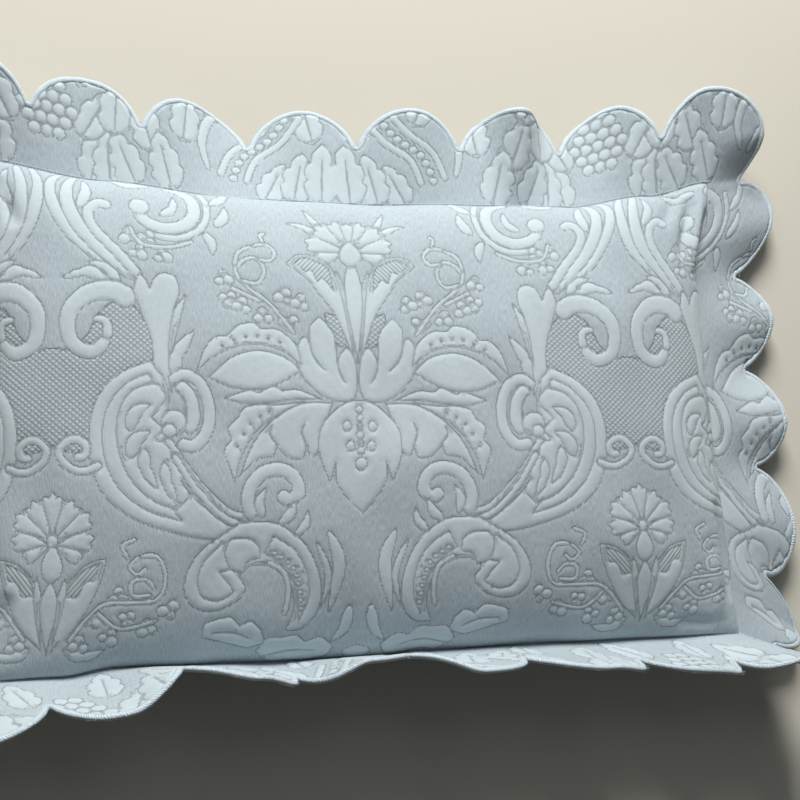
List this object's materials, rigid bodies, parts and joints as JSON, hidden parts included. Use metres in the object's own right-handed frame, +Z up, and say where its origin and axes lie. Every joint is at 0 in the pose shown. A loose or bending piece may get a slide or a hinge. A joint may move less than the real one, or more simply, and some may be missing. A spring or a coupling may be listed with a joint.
{
  "type": "matelasse pillow sham",
  "caption": "Filled oblong bed pillow in a quilted jacquard cover with a wide scalloped flange and a corded scalloped edge, lying on its back.",
  "frame": {"origin": "middle of the flat patch of the back panel that rests on the surface", "axes": "+X along the width to the right of the front panel, +Y towards its top edge, +Z up out of the front panel"},
  "size_m": [0.9408, 0.6603, 0.1463],
  "materials": {
    "matelasse_cloth": "quilted jacquard cotton, pale blue-grey",
    "corded_edging": "satin-stitched cord, light blue"
  },
  "bodies": {
    "root": {"pillow_sham": "matelasse_cloth", "scallop_edging": "corded_edging"}
  },
  "joints": []
}
